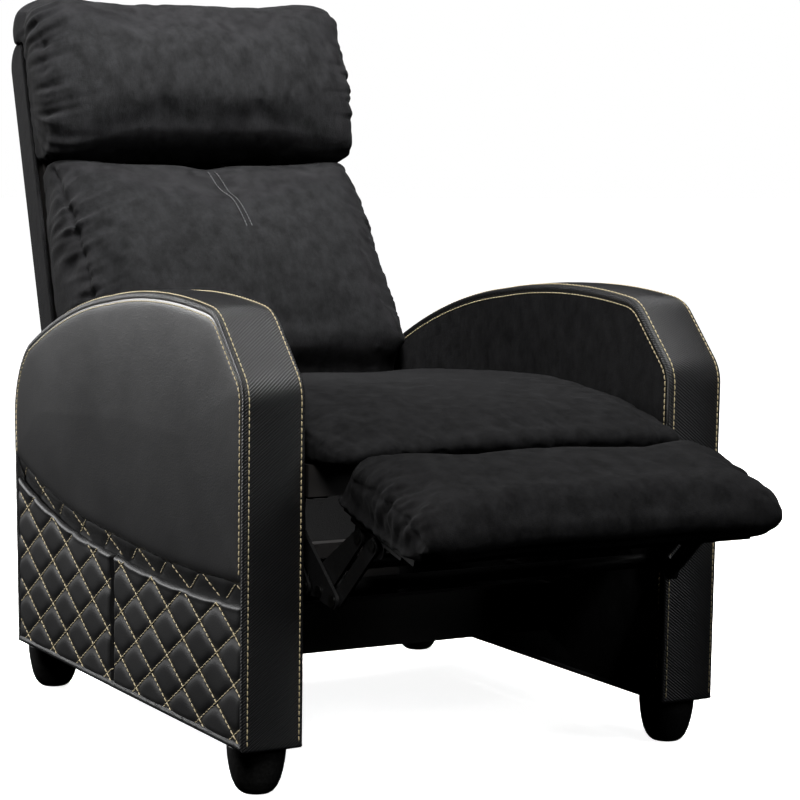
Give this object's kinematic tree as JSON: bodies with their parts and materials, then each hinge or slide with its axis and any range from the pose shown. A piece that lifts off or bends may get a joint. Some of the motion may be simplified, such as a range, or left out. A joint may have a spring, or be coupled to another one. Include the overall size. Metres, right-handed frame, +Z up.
{
  "type": "push back recliner armchair",
  "caption": "Push-back recliner armchair with fold-out footrest, reclining backrest with a headrest pillow, and padded arms with quilted side pockets on round feet.",
  "frame": {"origin": "centre of the chair's footprint box, on the floor, footrest out and backrest upright", "axes": "+Z up, the chair faces -Y, the sitter's left is +X"},
  "size_m": [0.68, 1.2581, 0.9805],
  "materials": {
    "plywood": "foam filled plywood side, raw",
    "beech_rail": "beech, stained black",
    "ribbed_leather": "fine diagonal rib, satin",
    "smooth_leather": "smooth, soft sheen",
    "quilted_leather": "quilted in diamonds with gold thread",
    "velvet": "short pile",
    "shell_velvet": "short pile over a thin board",
    "dust_cloth": "flat weave, over a board where it covers one",
    "foot_plastic": "fine texture",
    "spring_wire": "drawn wire",
    "zinc_steel": "zinc plated",
    "black_steel": "black powder coat"
  },
  "bodies": {
    "base": {"arm_core_left": "plywood", "arm_core_right": "plywood", "arm_band_left": "ribbed_leather", "arm_band_right": "ribbed_leather", "arm_inner_panel_left": "velvet", "arm_inner_panel_right": "velvet", "arm_outer_panel_left": "smooth_leather", "arm_outer_panel_right": "smooth_leather", "arm_lower_panel_left": "quilted_leather", "arm_lower_panel_right": "quilted_leather", "front_pocket_left": "quilted_leather", "front_pocket_right": "quilted_leather", "rear_pocket_left": "quilted_leather", "rear_pocket_right": "quilted_leather", "base_rail_left": "black_steel", "base_rail_right": "black_steel", "feet": "foot_plastic", "foot_bolts": "zinc_steel", "front_stretcher": "beech_rail", "rear_stretcher": "beech_rail", "rear_panel": "dust_cloth", "rail_screws": "zinc_steel", "base_pivot_pins": "zinc_steel"},
    "front_rocker": {"front_rocker_left": "black_steel", "front_rocker_right": "black_steel", "front_rocker_tube": "black_steel"},
    "rear_rocker": {"rear_rocker_left": "black_steel", "rear_rocker_right": "black_steel"},
    "seat": {"seat_plate_left": "black_steel", "seat_plate_right": "black_steel", "seat_side_rail_left": "beech_rail", "seat_side_rail_right": "beech_rail", "seat_front_rail": "beech_rail", "seat_rear_rail": "beech_rail", "seat_springs": "spring_wire", "seat_cushion": "velvet", "seat_pivot_pins": "zinc_steel"},
    "thigh": {"thigh_link_left": "black_steel", "thigh_link_right": "black_steel", "thigh_pins": "zinc_steel"},
    "shin": {"shin_link_left": "black_steel", "shin_link_right": "black_steel", "shin_tube": "black_steel", "shin_pins": "zinc_steel"},
    "control": {"control_links": "black_steel"},
    "footrest_link": {"footrest_links": "black_steel"},
    "footrest": {"footrest_bracket_left": "black_steel", "footrest_bracket_right": "black_steel", "footrest_pins": "zinc_steel", "footrest_board": "dust_cloth", "footrest_pad": "velvet"},
    "backrest": {"hinge_brackets": "black_steel", "back_post_left": "beech_rail", "back_post_right": "beech_rail", "back_top_rail": "beech_rail", "back_bottom_rail": "beech_rail", "back_springs": "spring_wire", "back_shell": "shell_velvet", "back_cushion": "velvet", "headrest": "velvet"}
  },
  "joints": [
    {"name": "seat_glide", "type": "hinge", "parent": "base", "child": "front_rocker", "pos_m": [0, -0.12554, 0.209], "axis": [1, 0, 0], "range_deg": [-38, 0]},
    {"name": "seat_level", "type": "hinge", "parent": "front_rocker", "child": "seat", "pos_m": [0, -0.16298, 0.31773], "axis": [1, 0, 0], "range_deg": [0, 38]},
    {"name": "rear_rocker_swing", "type": "hinge", "parent": "base", "child": "rear_rocker", "pos_m": [0, 0.17446, 0.209], "axis": [1, 0, 0], "range_deg": [-38, 0]},
    {"name": "thigh_swing", "type": "hinge", "parent": "seat", "child": "thigh", "pos_m": [0, -0.31554, 0.308], "axis": [1, 0, 0], "range_deg": [0, 76]},
    {"name": "shin_swing", "type": "hinge", "parent": "thigh", "child": "shin", "pos_m": [0, -0.36696, 0.24672], "axis": [1, 0, 0], "range_deg": [-76, 0]},
    {"name": "control_swing", "type": "hinge", "parent": "seat", "child": "control", "pos_m": [0, -0.27854, 0.308], "axis": [1, 0, 0], "range_deg": [0, 76]},
    {"name": "footrest_link_swing", "type": "hinge", "parent": "thigh", "child": "footrest_link", "pos_m": [0, -0.40048, 0.241], "axis": [1, 0, 0], "range_deg": [-76, 0]},
    {"name": "footrest_fold", "type": "hinge", "parent": "shin", "child": "footrest", "pos_m": [0, -0.45095, 0.3232], "axis": [1, 0, 0], "range_deg": [0, 76]},
    {"name": "back_recline", "type": "hinge", "parent": "seat", "child": "backrest", "pos_m": [0, 0.32946, 0.33], "axis": [-1, 0, 0], "range_deg": [0, 53]}
  ],
  "couplings": [
    {"joint": "seat_level", "follows": "seat_glide", "ratio": -1},
    {"joint": "rear_rocker_swing", "follows": "seat_glide", "ratio": 1},
    {"joint": "thigh_swing", "follows": "seat_glide", "ratio": -2},
    {"joint": "shin_swing", "follows": "seat_glide", "ratio": 2},
    {"joint": "control_swing", "follows": "seat_glide", "ratio": -2},
    {"joint": "footrest_link_swing", "follows": "seat_glide", "ratio": 2},
    {"joint": "footrest_fold", "follows": "seat_glide", "ratio": -2}
  ]
}
